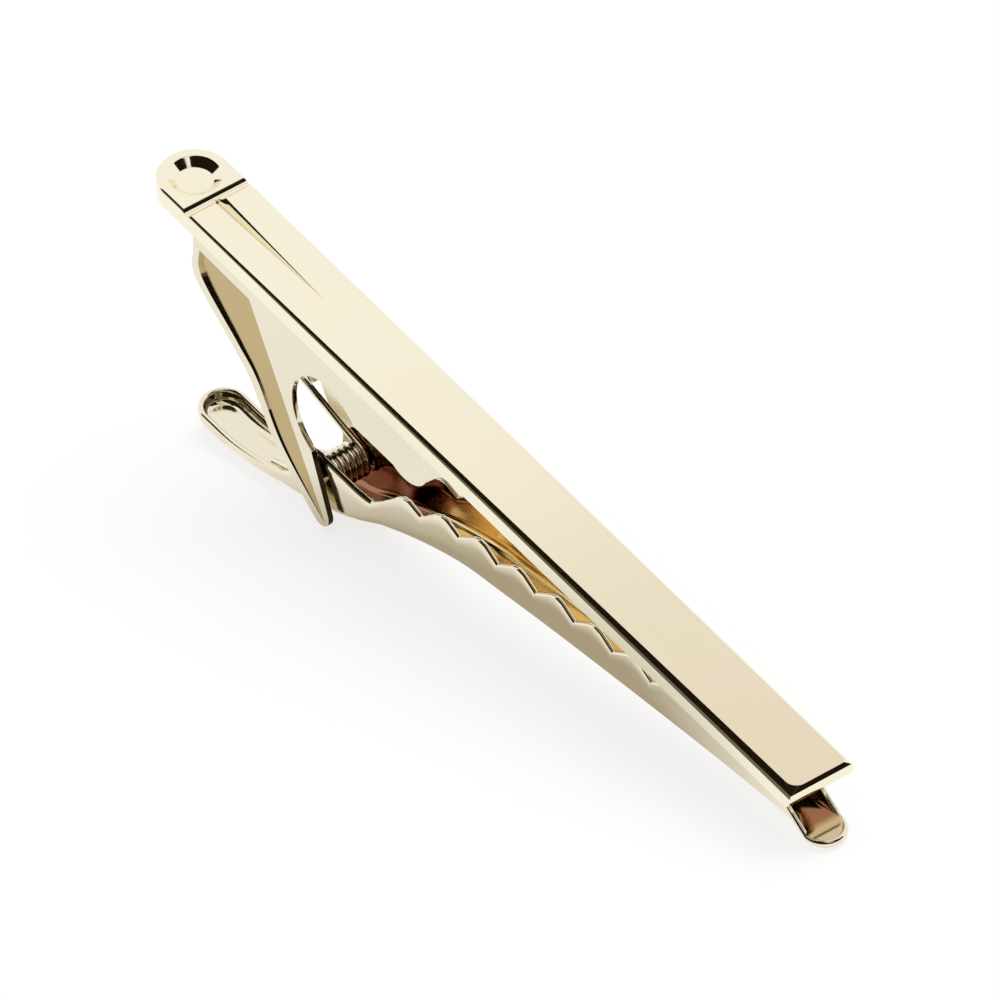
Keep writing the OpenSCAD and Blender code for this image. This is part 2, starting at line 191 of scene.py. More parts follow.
# Spring and pin
WIRE_D = 0.4
WIRE_SIDES = 16
COIL_R = 0.92
COIL_HALF = 1.025
COIL_TURNS = 5
TURN_STEPS = 36
WEB_LEG_L = 6.1
WEB_LEG_RISE = 12
WEB_LEG_GAP = 0.05
TAB_LEG_L = 5.6
TAB_LEG_GAP = 0.04
TAB_LEG_IN = 0.5
LEG_STEPS = 12
WIRE_SHARP_ANGLE = 60
PIN_R = 0.45
PIN_EDGE = 0.06
PIN_SUNK = 0.03
PIN_STEPS = 48
PIN_SHARP_ANGLE = 30


def stand_matrix():
    """From the bar's directions in millimetres to the row frame in metres."""
    face = next(m for m in frame["record"]["mounts"] if m["name"] == "front_face")
    turn = Matrix.Rotation(math.atan2(face["axis"][0], face["axis"][2]), 4, "Y")
    pivot = Vector(frame["joints"][0]["pos_m"])
    at = turn @ Vector((PIVOT[0], 0, PIVOT[1])) * MM
    return Matrix.Translation(pivot - at) @ turn @ Matrix.Scale(MM, 4)


STAND = stand_matrix()


# Curves and places

def curve_at(a, b, c, d, t):
    """Point between b and c on a smooth curve through four points."""
    return tuple(
        (2 * q + (r - p) * t + (2 * p - 5 * q + 4 * r - s) * t * t + (3 * q - p - 3 * r + s) * t ** 3) / 2
        for p, q, r, s in zip(a, b, c, d))


def smooth(points, steps):
    """Smooth curve through the points, with so many steps from each one to the next."""
    out = []
    last = len(points) - 1
    for i in range(last):
        before, after = points[max(i - 1, 0)], points[min(i + 2, last)]
        out += [curve_at(before, points[i], points[i + 1], after, s / steps) for s in range(steps)]
    return out + [tuple(points[last])]


def arc(centre, r, a0, a1, steps):
    """Points of an arc between two angles in degrees, both ends included."""
    angles = [math.radians(a0 + (a1 - a0) * i / steps) for i in range(steps + 1)]
    return [(centre[0] + r * math.cos(a), centre[1] + r * math.sin(a)) for a in angles]


def tangent_angle(p, centre, r, turn):
    """Angle in degrees at which a line from p touches a circle."""
    x, z = p[0] - centre[0], p[1] - centre[1]
    return math.degrees(math.atan2(z, x) + turn * math.acos(r / math.hypot(x, z)))


def lookup(x, table):
    """Value at x in a table of points sorted by their first number."""
    if x <= table[0][0]:
        return table[0][1]
    for (x0, v0), (x1, v1) in zip(table, table[1:]):
        if x <= x1:
            return v0 + (v1 - v0) * (x - x0) / (x1 - x0)
    return table[-1][1]


def ease(a, b, t):
    """Value between a and b that leaves the one and meets the other without a corner."""
    t = min(max(t, 0), 1)
    return a + (b - a) * t * t * (3 - 2 * t)


def keel_table():
    """Under side of the jaw along its middle, from the end of the thumb tab to the tip."""
    reach = JAW_END_X - PIVOT[0]
    rise = JAW_END_Z - KEEL_Z
    rear = [(PIVOT[0] - s * TAB_REACH, KEEL_Z - f * KEEL_FALL) for s, f in KEEL_REAR_SHARES]
    front = [(PIVOT[0] + s * reach, KEEL_Z + r * rise) for s, r in KEEL_FRONT_SHARES]
    return smooth(rear + front, KEEL_STEPS)


KEEL = keel_table()


def keel_at(x):
    return lookup(x, KEEL)


def flank_at(x):
    return min(keel_at(x) + FLANK_H, JAW_TOP_Z)


def on_cheek(share):
    """Point of the cheek at shares of its reach to the foot and of its drop to the foot's end."""
    return (BRACKET_X + share[0] * (FOOT[0] - BRACKET_X), share[1] * (FOOT[1] - FOOT_R))


LEG_Z = on_cheek(LEG_FRONT_SHARE)[1]


# Solids

def new_piece(name, verts, faces):
    mesh = bpy.data.meshes.new(name)
    mesh.from_pydata([tuple(v) for v in verts], [], faces)
    mesh.validate()
    piece = bpy.data.objects.new(name, mesh)
    SCENE.collection.objects.link(piece)
    return piece


def edit(piece, change=None):
    """Runs a change on the piece's mesh, if one is given, and turns all its faces outwards."""
    bm = bmesh.new()
    bm.from_mesh(piece.data)
    if change:
        change(bm)
    bmesh.ops.recalc_face_normals(bm, faces=bm.faces)
    bm.to_mesh(piece.data)
    bm.free()


def apply_modifiers(piece):
    graph = bpy.context.evaluated_depsgraph_get()
    mesh = bpy.data.meshes.new_from_object(piece.evaluated_get(graph))
    piece.modifiers.clear()
    piece.data = mesh


def loft(name, outlines):
    """Closed solid through outlines of one length, with flat ends."""
    n = len(outlines[0])
    last = (len(outlines) - 1) * n
    faces = [list(range(n)), list(range(last, last + n))]
    for a in range(0, last, n):
        faces += [(a + i, a + (i + 1) % n, a + n + (i + 1) % n, a + n + i) for i in range(n)]
    piece = new_piece(name, [p for outline in outlines for p in outline], faces)
    edit(piece)
    return piece


def prism(name, outline, low, high, axes="xz"):
    """Closed solid from an outline in two axes, extruded along the third one."""
    order = [axes.find(a) for a in "xyz"]
    return loft(name, [[[(*p, level)[i] for i in order] for p in outline] for level in (low, high)])


def grid(name, rows, close_rows=False, merge=0.0, inner=()):
    """Surface through rows of points, all of one length, with a second material on its inner strips."""
    width = len(rows[0])
    count = len(rows)
    faces = []
    for i in range(count if close_rows else count - 1):
        a, b = i * width, (i + 1) % count * width
        faces += [(a + k, a + k + 1, b + k + 1, b + k) for k in range(width - 1)]
    piece = new_piece(name, [p for row in rows for p in row], faces)
    for i, face in enumerate(piece.data.polygons):
        face.material_index = int(i % (width - 1) in inner)
    if merge:
        edit(piece, lambda bm: bmesh.ops.remove_doubles(bm, verts=bm.verts, dist=merge))
    return piece


def lathe(name, profile, centre, steps=96, axis="Z"):
    """Closed solid turned from a profile of radius and height, whose ends lie on the axis."""
    rows = []
    for i in range(steps):
        a = 2 * math.pi * i / steps
        if axis == "Z":
            rows.append([(centre[0] + r * math.cos(a), centre[1] + r * math.sin(a), centre[2] + h)
                         for r, h in profile])
        else:
            rows.append([(centre[0] + r * math.cos(a), centre[1] + h, centre[2] + r * math.sin(a))
                         for r, h in profile])
    return grid(name, rows, close_rows=True, merge=FINE_MERGE_DIST)


def cut(piece, cutter):
    """Cuts one piece out of another and deletes it."""
    modifier = piece.modifiers.new("cut", "BOOLEAN")
    modifier.operation = "DIFFERENCE"
    modifier.solver = "EXACT"
    modifier.object = cutter
    apply_modifiers(piece)
    bpy.data.objects.remove(cutter)


def tidy_flats(piece):
    """Joins points that meet and faces that lie in one plane."""
    def change(bm):
        bmesh.ops.remove_doubles(bm, verts=bm.verts, dist=MERGE_DIST)
        bmesh.ops.dissolve_limit(bm, angle_limit=math.radians(FLAT_ANGLE), verts=bm.verts, edges=bm.edges)
    edit(piece, change)


def round_edges(piece, width, segments, weight_of, min_angle=20):
    """Rounds the edges whose faces meet at over min_angle, each to its own share of the width."""
    def weigh(bm):
        layer = bm.edges.layers.float.new("bevel_weight_edge")
        for e in bm.edges:
            if len(e.link_faces) == 2 and e.calc_face_angle(0) > math.radians(min_angle):
                e[layer] = weight_of((e.verts[0].co + e.verts[1].co) / 2, e)
    edit(piece, weigh)
    modifier = piece.modifiers.new("round", "BEVEL")
    modifier.limit_method = "WEIGHT"
    modifier.width = width
    modifier.segments = segments
    modifier.use_clamp_overlap = True
    apply_modifiers(piece)


def shade(piece, angle=38):
    """Smooth shading that keeps flat faces flat and corners over the angle sharp."""
    def change(bm):
        for f in bm.faces:
            f.smooth = True
        for e in bm.edges:
            e.smooth = len(e.link_faces) == 2 and e.calc_face_angle(0) < math.radians(angle)
    edit(piece, change)
    modifier = piece.modifiers.new("flats", "WEIGHTED_NORMAL")
    modifier.keep_sharp = True
    modifier.weight = FLAT_WEIGHT


def place(piece, body, node, slot, *materials):
    """Stands the piece on the table, gives it its body and materials, and hides the imported part of the node
    it stands for. The slot is not used.
    """
    piece.data.transform(STAND)
    indices = [face.material_index for face in piece.data.polygons]
    piece.data.materials.clear()
    for material in materials:
        piece.data.materials.append(material)
    for face, index in zip(piece.data.polygons, indices):
        face.material_index = min(index, len(materials) - 1)
    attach(piece, body)
    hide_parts(node)


# Materials

# Drifts of tone: how many, how fine, where between the two tones, and how much deeper the second is
DRIFT_SCALE = 180
DRIFT_DETAIL = 2
DRIFT_SPAN = (0.3, 0.7)
DRIFT_TONE = (0.985, 0.975, 0.96)
# Polishing marks: how many along and across the metal, how fine, how deep, and their spread of gloss
MARK_SCALES = (2500, 40000, 40000)
MARK_DETAIL = 4
MARK_DEPTH = 0.00002
MARK_ROUGHNESS = (0.75, 1.3)

# Painted reflection and shade inside the jaw: dark red shade at the coil and the tip, warm gold-on-gold
# reflection in the channel
PALE_INSIDE = (0.84, 0.78, 0.62)
RED_SHADE_INSIDE = (0.36, 0.17, 0.1)
WARM_REFLECTION_INSIDE = (0.86, 0.67, 0.34)
TIP_SHADE_INSIDE = (0.64, 0.5, 0.33)
# Where each tone starts and ends along the jaw
INSIDE_PAINTED_TONES = (
    (13.5, PALE_INSIDE), (15.5, RED_SHADE_INSIDE), (21.5, RED_SHADE_INSIDE), (24.5, WARM_REFLECTION_INSIDE),
    (55.5, WARM_REFLECTION_INSIDE), (56.8, RED_SHADE_INSIDE), (58.0, RED_SHADE_INSIDE), (58.4, TIP_SHADE_INSIDE))


def fill_ramp(ramp, stops):
    """Gives a colour ramp its stops of place and colour."""
    elements = ramp.color_ramp.elements
    while len(elements) < len(stops):
        elements.new(0.5)
    for element, (at, colour) in zip(elements, stops):
        element.position = at
        element.color = (*colour, 1)


def colour_along(nodes, links, axis, low, high, stops):
    """Colour that runs through stops of share and colour between two places on an axis."""
    where = nodes.new("ShaderNodeTexCoord")
    split = nodes.new("ShaderNodeSeparateXYZ")
    links.new(where.outputs["Object"], split.inputs["Vector"])
    span = nodes.new("ShaderNodeMapRange")
    span.inputs["From Min"].default_value = low
    span.inputs["From Max"].default_value = high
    links.new(split.outputs[axis], span.inputs["Value"])
    ramp = nodes.new("ShaderNodeValToRGB")
    fill_ramp(ramp, stops)
    links.new(span.outputs["Result"], ramp.inputs["Fac"])
    return ramp.outputs["Color"]


def add_drifts(nodes, links, where, colour):
    """The metal's colour, with faint drifts to a deeper tone."""
    drift = nodes.new("ShaderNodeTexNoise")
    drift.inputs["Scale"].default_value = DRIFT_SCALE
    drift.inputs["Detail"].default_value = DRIFT_DETAIL
    links.new(where.outputs["Object"], drift.inputs["Vector"])
    deeper = [c * t for c, t in zip(colour, DRIFT_TONE)]
    ramp = nodes.new("ShaderNodeValToRGB")
    fill_ramp(ramp, list(zip(DRIFT_SPAN, (deeper, colour))))
    links.new(drift.outputs["Fac"], ramp.inputs["Fac"])
    return ramp.outputs["Color"]


def add_marks(nodes, links, where, shader, roughness, scratch):
    """Fine polishing marks along the metal, in its gloss and in its surface."""
    stretch = nodes.new("ShaderNodeMapping")
    stretch.inputs["Scale"].default_value = MARK_SCALES
    links.new(where.outputs["Object"], stretch.inputs["Vector"])
    marks = nodes.new("ShaderNodeTexNoise")
    marks.inputs["Scale"].default_value = 1
    marks.inputs["Detail"].default_value = MARK_DETAIL
    links.new(stretch.outputs["Vector"], marks.inputs["Vector"])
    rough = nodes.new("ShaderNodeMapRange")
    rough.inputs["To Min"].default_value = roughness * MARK_ROUGHNESS[0]
    rough.inputs["To Max"].default_value = roughness * MARK_ROUGHNESS[1]
    links.new(marks.outputs["Fac"], rough.inputs["Value"])
    links.new(rough.outputs["Result"], shader.inputs["Roughness"])
    bump = nodes.new("ShaderNodeBump")
    bump.inputs["Strength"].default_value = scratch
    bump.inputs["Distance"].default_value = MARK_DEPTH
    links.new(marks.outputs["Fac"], bump.inputs["Height"])
    links.new(bump.outputs["Normal"], shader.inputs["Normal"])


def metal(name, colour, roughness, scratch):
    """Polished plated metal: faint drifts of tone and fine polishing marks."""
    material = bpy.data.materials.new(name)
    material.use_nodes = True
    nodes, links = material.node_tree.nodes, material.node_tree.links
    shader = nodes["Principled BSDF"]
    shader.inputs["Metallic"].default_value = 1.0
    where = nodes.new("ShaderNodeTexCoord")
    links.new(add_drifts(nodes, links, where, colour), shader.inputs["Base Color"])
    add_marks(nodes, links, where, shader, roughness, scratch)
    return material


def bar_gold():
    return metal("polished_pale_gold", (0.93, 0.87, 0.69), 0.07, 0.02)


def sheet_gold():
    return metal("bright_pale_gold", (0.82, 0.77, 0.61), 0.09, 0.03)


def jaw_gold():
    return metal("pressed_pale_gold", (0.87, 0.79, 0.62), 0.10, 0.03)


def panel_painted_reflection_gold():
    """Deeper gold of the sunk panels on the cheeks: a painted reflection of warmer surroundings."""
    return metal("cheek_panel_painted_reflection", (0.51, 0.375, 0.16), 0.16, 0.04)


def leg_front_painted_shade():
    """Near-black gold on the cut edge down the front of the bracket's legs: painted shade of the dark gap
    beside the jaw.
    """
    return metal("leg_front_edge_painted_shade", (0.05, 0.035, 0.02), 0.25, 0.05)


def painted_shade_inner_gold():
    """Gold inside the jaw, with painted reflection and shade: pale in the tab, dark red painted shade at the
    coil and the tip, warm painted reflection in the channel.
    """
    material = metal("jaw_inside_painted_shade_and_reflection", (1, 1, 1), 0.10, 0.03)
    nodes, links = material.node_tree.nodes, material.node_tree.links
    shader = nodes["Principled BSDF"]
    drift = shader.inputs["Base Color"].links[0].from_socket
    places = [(STAND @ Vector((x, 0, keel_at(x)))).x for x, _ in INSIDE_PAINTED_TONES]
    reach = places[-1] - places[0]
    stops = [((at - places[0]) / reach, colour) for at, (_, colour) in zip(places, INSIDE_PAINTED_TONES)]
    tint = nodes.new("ShaderNodeMix")
    tint.data_type = "RGBA"
    tint.blend_type = "MULTIPLY"
    tint.inputs["Factor"].default_value = 1.0
    colours_in = [s for s in tint.inputs if s.type == "RGBA"]
    links.new(colour_along(nodes, links, "X", places[0], places[-1], stops), colours_in[0])
    links.new(drift, colours_in[1])
    links.new(next(s for s in tint.outputs if s.type == "RGBA"), shader.inputs["Base Color"])
    return material


def wire_steel():
    return metal("plated_spring_wire", (0.88, 0.81, 0.68), 0.12, 0.04)


GOLD_SHEET = sheet_gold()


# Bar

def bar_outlines():
    """Outlines of the bar from its underside up its rounded end to its bevels and front face."""
    half = BAR_W / 2
    turns = [math.pi / 2 * i / END_STEPS for i in range(END_STEPS + 1)]
    body = [[] for _ in turns]
    edge, crease, face = [], [], []
    inset = BEVEL_REAR / half
    crease_inset = inset * BEVEL_REAR_SHARE
    for x, y in arc((half, 0), half, 90, 270, ROUND_END_STEPS):
        for outline, a in zip(body, turns):
            outline.append((x, y, END_R * (1 - math.cos(a)) - BAR_T))
        edge.append((x, y, -BEVEL_REAR))
        crease.append((x - (x - half) * crease_inset, y * (1 - crease_inset), -BEVEL_REAR / 2))
        face.append((x - (x - half) * inset, y * (1 - inset), 0))
    sides = zip((-1, 1), (270, 0), CORNER_FRONT_RS, BEVEL_FRONTS, BEVEL_LOWERS)
    for side, start, r, bevel, lower in sides:
        centre = (BAR_L - END_BEVEL - r, side * (half - bevel - r))
        for p in arc(centre, r, start, start + 90, CORNER_FRONT_STEPS):
            for outline, a in zip(body, turns):
                outline.append((BAR_L - END_R * (1 - math.sin(a)), side * half,
                                END_R * (1 - math.cos(a)) - BAR_T))
            edge.append((BAR_L, side * half, -BEVEL_DEPTH))
            crease.append((BAR_L - END_LOWER, side * (half - lower), -BEVEL_UPPER_DEPTH))
            face.append((*p, 0))
    return body + [edge, crease, face]


def dish_cutter():
    """Round dish with a soft lip, a conical wall and a flat floor."""
    lip = arc((DISH_R + DISH_LIP, -DISH_LIP), DISH_LIP, 90, 135, DISH_LIP_STEPS)
    fillet = arc((DISH_FLOOR_R - DISH_LIP, DISH_LIP - DISH_DEPTH), DISH_LIP, 315, 270, DISH_LIP_STEPS)
    profile = [(0, BAR_T), (DISH_R + DISH_LIP, BAR_T)] + lip + fillet + [(0, -DISH_DEPTH)]
    return lathe("dish_cutter", profile, (BAR_W / 2, 0, 0))


def groove_cutter():
    """Round-bottomed groove straight across the bar."""
    centre = (GROOVE_X, GROOVE_R - GROOVE_DEPTH)
    return prism("groove_cutter", arc(centre, GROOVE_R, 0, 360, GROOVE_STEPS)[:-1], -BAR_W, BAR_W)


def flute_cutter():
    """V flute that narrows and rises to a point along the bar."""
    half = FLUTE_W / 2
    outlines = []
    for x, s in ((GROOVE_X, 1), (FLUTE_END_X, FLUTE_END_SHARE)):
        depth = FLUTE_DEPTH * (FLUTE_LEVEL_SHARE + (1 - FLUTE_LEVEL_SHARE) * s)
        outlines.append([(x, -half * s, BAR_T), (x, -half * s, 0), (x, 0, -depth),
                         (x, half * s, 0), (x, half * s, BAR_T)])
    return loft("flute_cutter", outlines)


def make_bar():
    bar = loft("front_bar_polished", bar_outlines())
    tidy_flats(bar)
    for cutter in (dish_cutter, groove_cutter, flute_cutter):
        cut(bar, cutter())
    tidy_flats(bar)
    round_edges(bar, BAR_EDGE_R, BAR_EDGE_STEPS,
                lambda p, e: float(p.x < BAR_L - CRISP_END_L or p.z < -BEVEL_DEPTH))
    shade(bar, BAR_SHARP_ANGLE)
    place(bar, "clip_body", "front_bar", "front_gold", bar_gold())


# Bracket

def cheek_shape():
    """Outline of a cheek and its smooth rear edge."""
    rear = [on_cheek(s) for s in REAR_EDGE_SHARES]
    foot_start = tangent_angle(rear[-1], FOOT, FOOT_R, 1)
    rear_edge = smooth(rear + arc(FOOT, FOOT_R, foot_start, foot_start, 1)[:1], REAR_EDGE_STEPS)
    leg = on_cheek(LEG_FRONT_SHARE)
    foot_end = 360 + tangent_angle(leg, FOOT, FOOT_R, -1)
    arch_end_z = ARCH[1] + ARCH_R * math.sin(math.radians(ARCH_END_ANGLE))
    lobe_start = 180 - math.degrees(math.asin((arch_end_z - LOBE[1]) / LOBE_R))
    rear_edge = [(BRACKET_X, -BAR_T)] + rear_edge
    outline = rear_edge + arc(FOOT, FOOT_R, foot_start, foot_end, FOOT_STEPS)[1:]
    outline += [leg, (ARCH[0], arch_end_z)] + arc(LOBE, LOBE_R, lobe_start, LOBE_END_ANGLE, LOBE_STEPS)
    return outline + [(BRACKET_X + BRACKET_L, -BAR_T)], rear_edge


def hollow_cutter(rear):
    """Space between the cheeks, which leaves a plate and a rear web of the sheet's thickness."""
    hollow = []
    for i, p in enumerate(rear):
        a, b = rear[max(i - 1, 0)], rear[min(i + 1, len(rear) - 1)]
        d = math.hypot(b[0] - a[0], b[1] - a[1])
        inwards = (-(b[1] - a[1]) / d, (b[0] - a[0]) / d)
        hollow.append((p[0] + BRACKET_T * inwards[0], p[1] + BRACKET_T * inwards[1]))
    plate_z = -BAR_T - BRACKET_T
    ahead = BRACKET_X + BRACKET_L + BAR_T
    hollow[0] = (hollow[0][0], plate_z)
    hollow += [(hollow[-1][0], BELOW_FEET_Z), (ahead, BELOW_FEET_Z), (ahead, plate_z)]
    return prism("hollow_cutter", hollow, -CHEEK_IN_Y, CHEEK_IN_Y)


def web_end_cutter():
    """Space under the end of the web, which stops just over the spring's leg."""
    rise = math.radians(WEB_LEG_RISE)
    leg_x = PIVOT[0] + COIL_R * math.sin(rise)
    leg_top = PIVOT[1] + COIL_R * math.cos(rise) + WIRE_D / 2 / math.cos(rise) + WEB_LEG_GAP
    behind = leg_top + (leg_x - BRACKET_X + BAR_T) * math.tan(rise)
    rear_x = BRACKET_X - BAR_T
    foot_x = FOOT[0] + FOOT_R
    outline = [(rear_x, behind), (leg_x, leg_top), (foot_x, leg_top), (foot_x, BELOW_FEET_Z),
               (rear_x, BELOW_FEET_Z)]
    return prism("web_end_cutter", outline, -CHEEK_IN_Y, CHEEK_IN_Y)


def slot_cutter():
    """Round-topped slot in the web, through which the thumb tab and the spring's leg pass."""
    slot = arc((0, SLOT_TOP_Z - SLOT_R), SLOT_R, 0, 180, SLOT_STEPS)
    slot += [(-SLOT_R, BELOW_FEET_Z), (SLOT_R, BELOW_FEET_Z)]
    return prism("slot_cutter", slot, BRACKET_X - BAR_T, FOOT[0], "yz")


def panel_cutter(rear, side):
    """Sunk panel on one cheek, which leans in from its crease and leaves a rim behind."""
    half = BAR_W / 2
    top, low = [on_cheek(s) for s in CREASE_SHARES]
    run = (low[0] - top[0], low[1] - top[1])
    foot_z = FOOT[1] - FOOT_R / 2
    crease_foot = (top[0] + run[0] * (foot_z - top[1]) / run[1], foot_z)
    inward = [RIM_W * f(math.radians(RIM_IN_ANGLE)) for f in (math.cos, math.sin)]
    panel = [(x + inward[0], z + inward[1]) for x, z in rear[1:]] + [crease_foot, top]
    sunk = []
    for x, z in panel:
        away = ((x - top[0]) * -run[1] + (z - top[1]) * run[0]) / math.hypot(*run)
        depth = max(-away, 0) * math.tan(math.radians(PANEL_SLOPE))
        sunk.append((x, side * (half - depth), z))
    return loft("panel_cutter", [sunk, [(x, side * (half + BAR_T), z) for x, _, z in sunk]])


def bracket_rounding(rear, p, e):
    """Share of the folds' radius for an edge: full on a fold, less down the leg, little elsewhere."""
    on_outside = abs(p.y) > BAR_W / 2 - OUTSIDE_TOL
    if on_outside and min(math.hypot(p.x - x, p.z - z) for x, z in rear) < FOLD_TOL:
        return 1.0
    narrow = min(e.link_faces, key=lambda f: abs(f.normal.y))
    if on_outside and p.z < LEG_Z and narrow.normal.x > FRONT_EDGE_LEAN:
        return LEG_EDGE_R / FOLD_R
    return EDGE_R / FOLD_R


def tone_bracket(bm):
    """Second material, a painted reflection, on the sunk panels, and third, painted shade, on the front edge
    of the legs.
    """
    bm.normal_update()
    for f in bm.faces:
        p = f.calc_center_median()
        if abs(p.y) < CHEEK_IN_Y + FOLD_TOL:
            continue
        if abs(f.normal.y) < CHEEK_NORMAL and f.normal.x > FRONT_FACE_LEAN and p.z < LEG_Z:
            f.material_index = 2
        elif abs(f.normal.y) > PANEL_NORMAL and abs(p.y) < BAR_W / 2 - PANEL_TOL:
            f.material_index = 1


def make_bracket():
    outline, rear = cheek_shape()
    half = BAR_W / 2
    bracket = prism("clip_bracket_folded", outline, -half, half)
    cut(bracket, hollow_cutter(rear))
    cut(bracket, web_end_cutter())
    cut(bracket, slot_cutter())
    cut(bracket, prism("arch_cutter", arc(ARCH, ARCH_R, 0, 360, ARCH_STEPS)[:-1], -BAR_W, BAR_W))
    for side in (-1, 1):
        cut(bracket, panel_cutter(rear, side))
    tidy_flats(bracket)
    round_edges(bracket, FOLD_R, FOLD_STEPS, lambda p, e: bracket_rounding(rear, p, e))
    edit(bracket, tone_bracket)
    shade(bracket)
    # Plain sheet gold, painted reflection on the panels, painted shade on the legs' front edge
    place(bracket, "clip_body", "clip_bracket", "bracket_gold", GOLD_SHEET, panel_painted_reflection_gold(), leg_front_painted_shade())


# Jaw

def plan_width(x):
    """Half width of the jaw between the arcs of its tab and its tip."""
    tab_x = PIVOT[0] - TAB_REACH + TAB_R
    tip_x = JAW_END_X - TIP_R
    ear = [PIVOT[0] + s * EAR_R for s in EAR_END_SHARES]
    neck = [PIVOT[0] - s * TAB_REACH for s in NECK_END_SHARES]
    if x < neck[1]:
        return ease(TAB_R, NECK_Y, (x - tab_x) / (neck[1] - tab_x))
    if x < ear[0]:
        return ease(NECK_Y, EAR_Y, (x - neck[1]) / (neck[0] - neck[1]))
    if x < ear[1]:
        return ease(EAR_Y, THROAT_Y, (x - ear[0]) / (ear[1] - ear[0]))
    return THROAT_Y + (TIP_R - THROAT_Y) * (x - ear[1]) / (tip_x - ear[1])


def tab_top():
    """Top edge of the thumb tab's rim and of the neck up to the ear."""
    neck_x = PIVOT[0] - NECK_END_SHARES[1] * TAB_REACH
    start = PIVOT[0] - TAB_REACH
    xs = [start + i * (neck_x - PIVOT[0] + TAB_REACH) / TAB_STEPS for i in range(TAB_STEPS + 1)]
    table = [(x, keel_at(x) + TAB_RIM_H) for x in xs]
    neck_z = table[-1][1]
    slope = (PIVOT[1] - neck_z) / (PIVOT[0] - neck_x)
    ear_x = PIVOT[0] - EAR_R
    return table + [(ear_x, neck_z + (ear_x - neck_x) * slope)]


def teeth_top(start):
    """Top edge of the teeth, each with a blunt point, from the first root to the last."""
    table = [(start, flank_at(start) - TOOTH_DEPTH)]
    blunt = POINT_SHARE * TOOTH_PITCH
    fall = POINT_SHARE * TOOTH_DEPTH
    for i in range(TOOTH_COUNT):
        x = start + (i + PEAK_SHARE) * TOOTH_PITCH
        root = start + (i + 1) * TOOTH_PITCH
        table += [(x - blunt, flank_at(x - blunt) - fall), (x, flank_at(x)),
                  (x + blunt, flank_at(x + blunt) - fall), (root, flank_at(root) - TOOTH_DEPTH)]
    return table


def top_table():
    """Top edge of the jaw's flanks, from the tab to the tip."""
    reach = JAW_END_X - PIVOT[0]
    teeth_x = PIVOT[0] + TEETH_X
    plain_x = teeth_x + (TOOTH_COUNT + PLAIN_SHARE) * TOOTH_PITCH
    fall_x, tip_x = [PIVOT[0] + s * reach for s in TIP_FALL_SHARES]
    table = tab_top() + arc(PIVOT, EAR_R, 179, 90, EAR_STEPS)
    table += [(PIVOT[0] + EAR_TOP_SHARE * EAR_R, PIVOT[1] + EAR_R)] + teeth_top(teeth_x)
    for i in range(PLAIN_STEPS + 1):
        x = plain_x + i * (fall_x - plain_x) / PLAIN_STEPS
        table.append((x, flank_at(x)))
    return table + [(tip_x, JAW_END_Z + TIP_RIM_H), (JAW_END_X, JAW_END_Z + TIP_RIM_H)]


def jaw_plan(top):
    """Points round the jaw's edge, each with the X of the place on the middle line that it faces."""
    tab_x = PIVOT[0] - TAB_REACH + TAB_R
    tip_x = JAW_END_X - TIP_R
    stations = {round(x, 3) for x, _ in top if tab_x < x < tip_x}
    count = int((tip_x - tab_x) / STATION_PITCH)
    stations |= {round(tab_x + i * STATION_PITCH, 3) for i in range(1, count)}
    kept = []
    for x in sorted(stations):
        if not kept or x - kept[-1] > STATION_GAP:
            kept.append(x)
    side = [(*p, tab_x) for p in arc((tab_x, 0), TAB_R, 180, 90, TAB_STEPS)]
    side += [(x, plan_width(x), x) for x in kept]
    side += [(*p, tip_x) for p in arc((tip_x, 0), TIP_R, 90, 0, TIP_STEPS)]
    return side + [(x, -y, facing) for x, y, facing in reversed(side[1:-1])]


def jaw_section(reach, height, slant):
    """Section of the sheet, as distance in from the edge and height over the keel: from the middle out
    along its under side, up its wall, over its rounded rim, down its inner side and back."""
    rim = SHEET_T / 2
    wall_h = height - rim - slant
    r = min(CORNER_R, wall_h * CORNER_WALL_SHARE)
    inner_r = r - SHEET_T
    floor = [reach - (reach - r) * k / SECTION_FLOOR for k in range(SECTION_FLOOR)]
    corner = [math.pi / 2 * k / SECTION_CORNER for k in range(SECTION_CORNER + 1)]
    over = [math.pi * k / SECTION_RIM for k in range(SECTION_RIM + 1)]
    outside = [(d, 0.0) for d in floor]
    outside += [(r - r * math.sin(a), r - r * math.cos(a)) for a in corner]
    outside += [(0.0, r + (wall_h - r) * k / SECTION_WALL) for k in range(1, SECTION_WALL)]
    outside += [(rim - rim * math.cos(a), wall_h + rim * math.sin(a) + slant * (1 - math.cos(a)) / 2)
                for a in over]
    inside = [(SHEET_T, r + (height - rim - r) * k / SECTION_WALL) for k in range(SECTION_WALL - 1, 0, -1)]
    inside += [(r - inner_r * math.sin(a), r - inner_r * math.cos(a)) for a in reversed(corner)]
    inside += [(d, SHEET_T) for d in reversed(floor)]
    return outside, inside


def make_jaw():
    top = top_table()
    rows = []
    for x, y, facing in jaw_plan(top):
        reach = math.hypot(x - facing, y)
        n = ((facing - x) / reach, -y / reach)
        outside, inside = jaw_section(reach, lookup(x, top) - keel_at(x), lookup(x, EAR_SLANT))
        places = [(x + n[0] * d, y + n[1] * d, h) for d, h in outside + inside]
        rows.append([(px, py, keel_at(px) + h) for px, py, h in places])
    inner = range(len(outside) - 1, len(rows[0]) - 1)
    jaw = grid("jaw_channel_pressed", rows, close_rows=True, merge=MERGE_DIST, inner=inner)
    shade(jaw, JAW_SHARP_ANGLE)
    # The inside of the jaw carries painted reflection and shade
    place(jaw, "jaw", "jaw_lever", "jaw_gold", jaw_gold(), painted_shade_inner_gold())


# Spring and pin

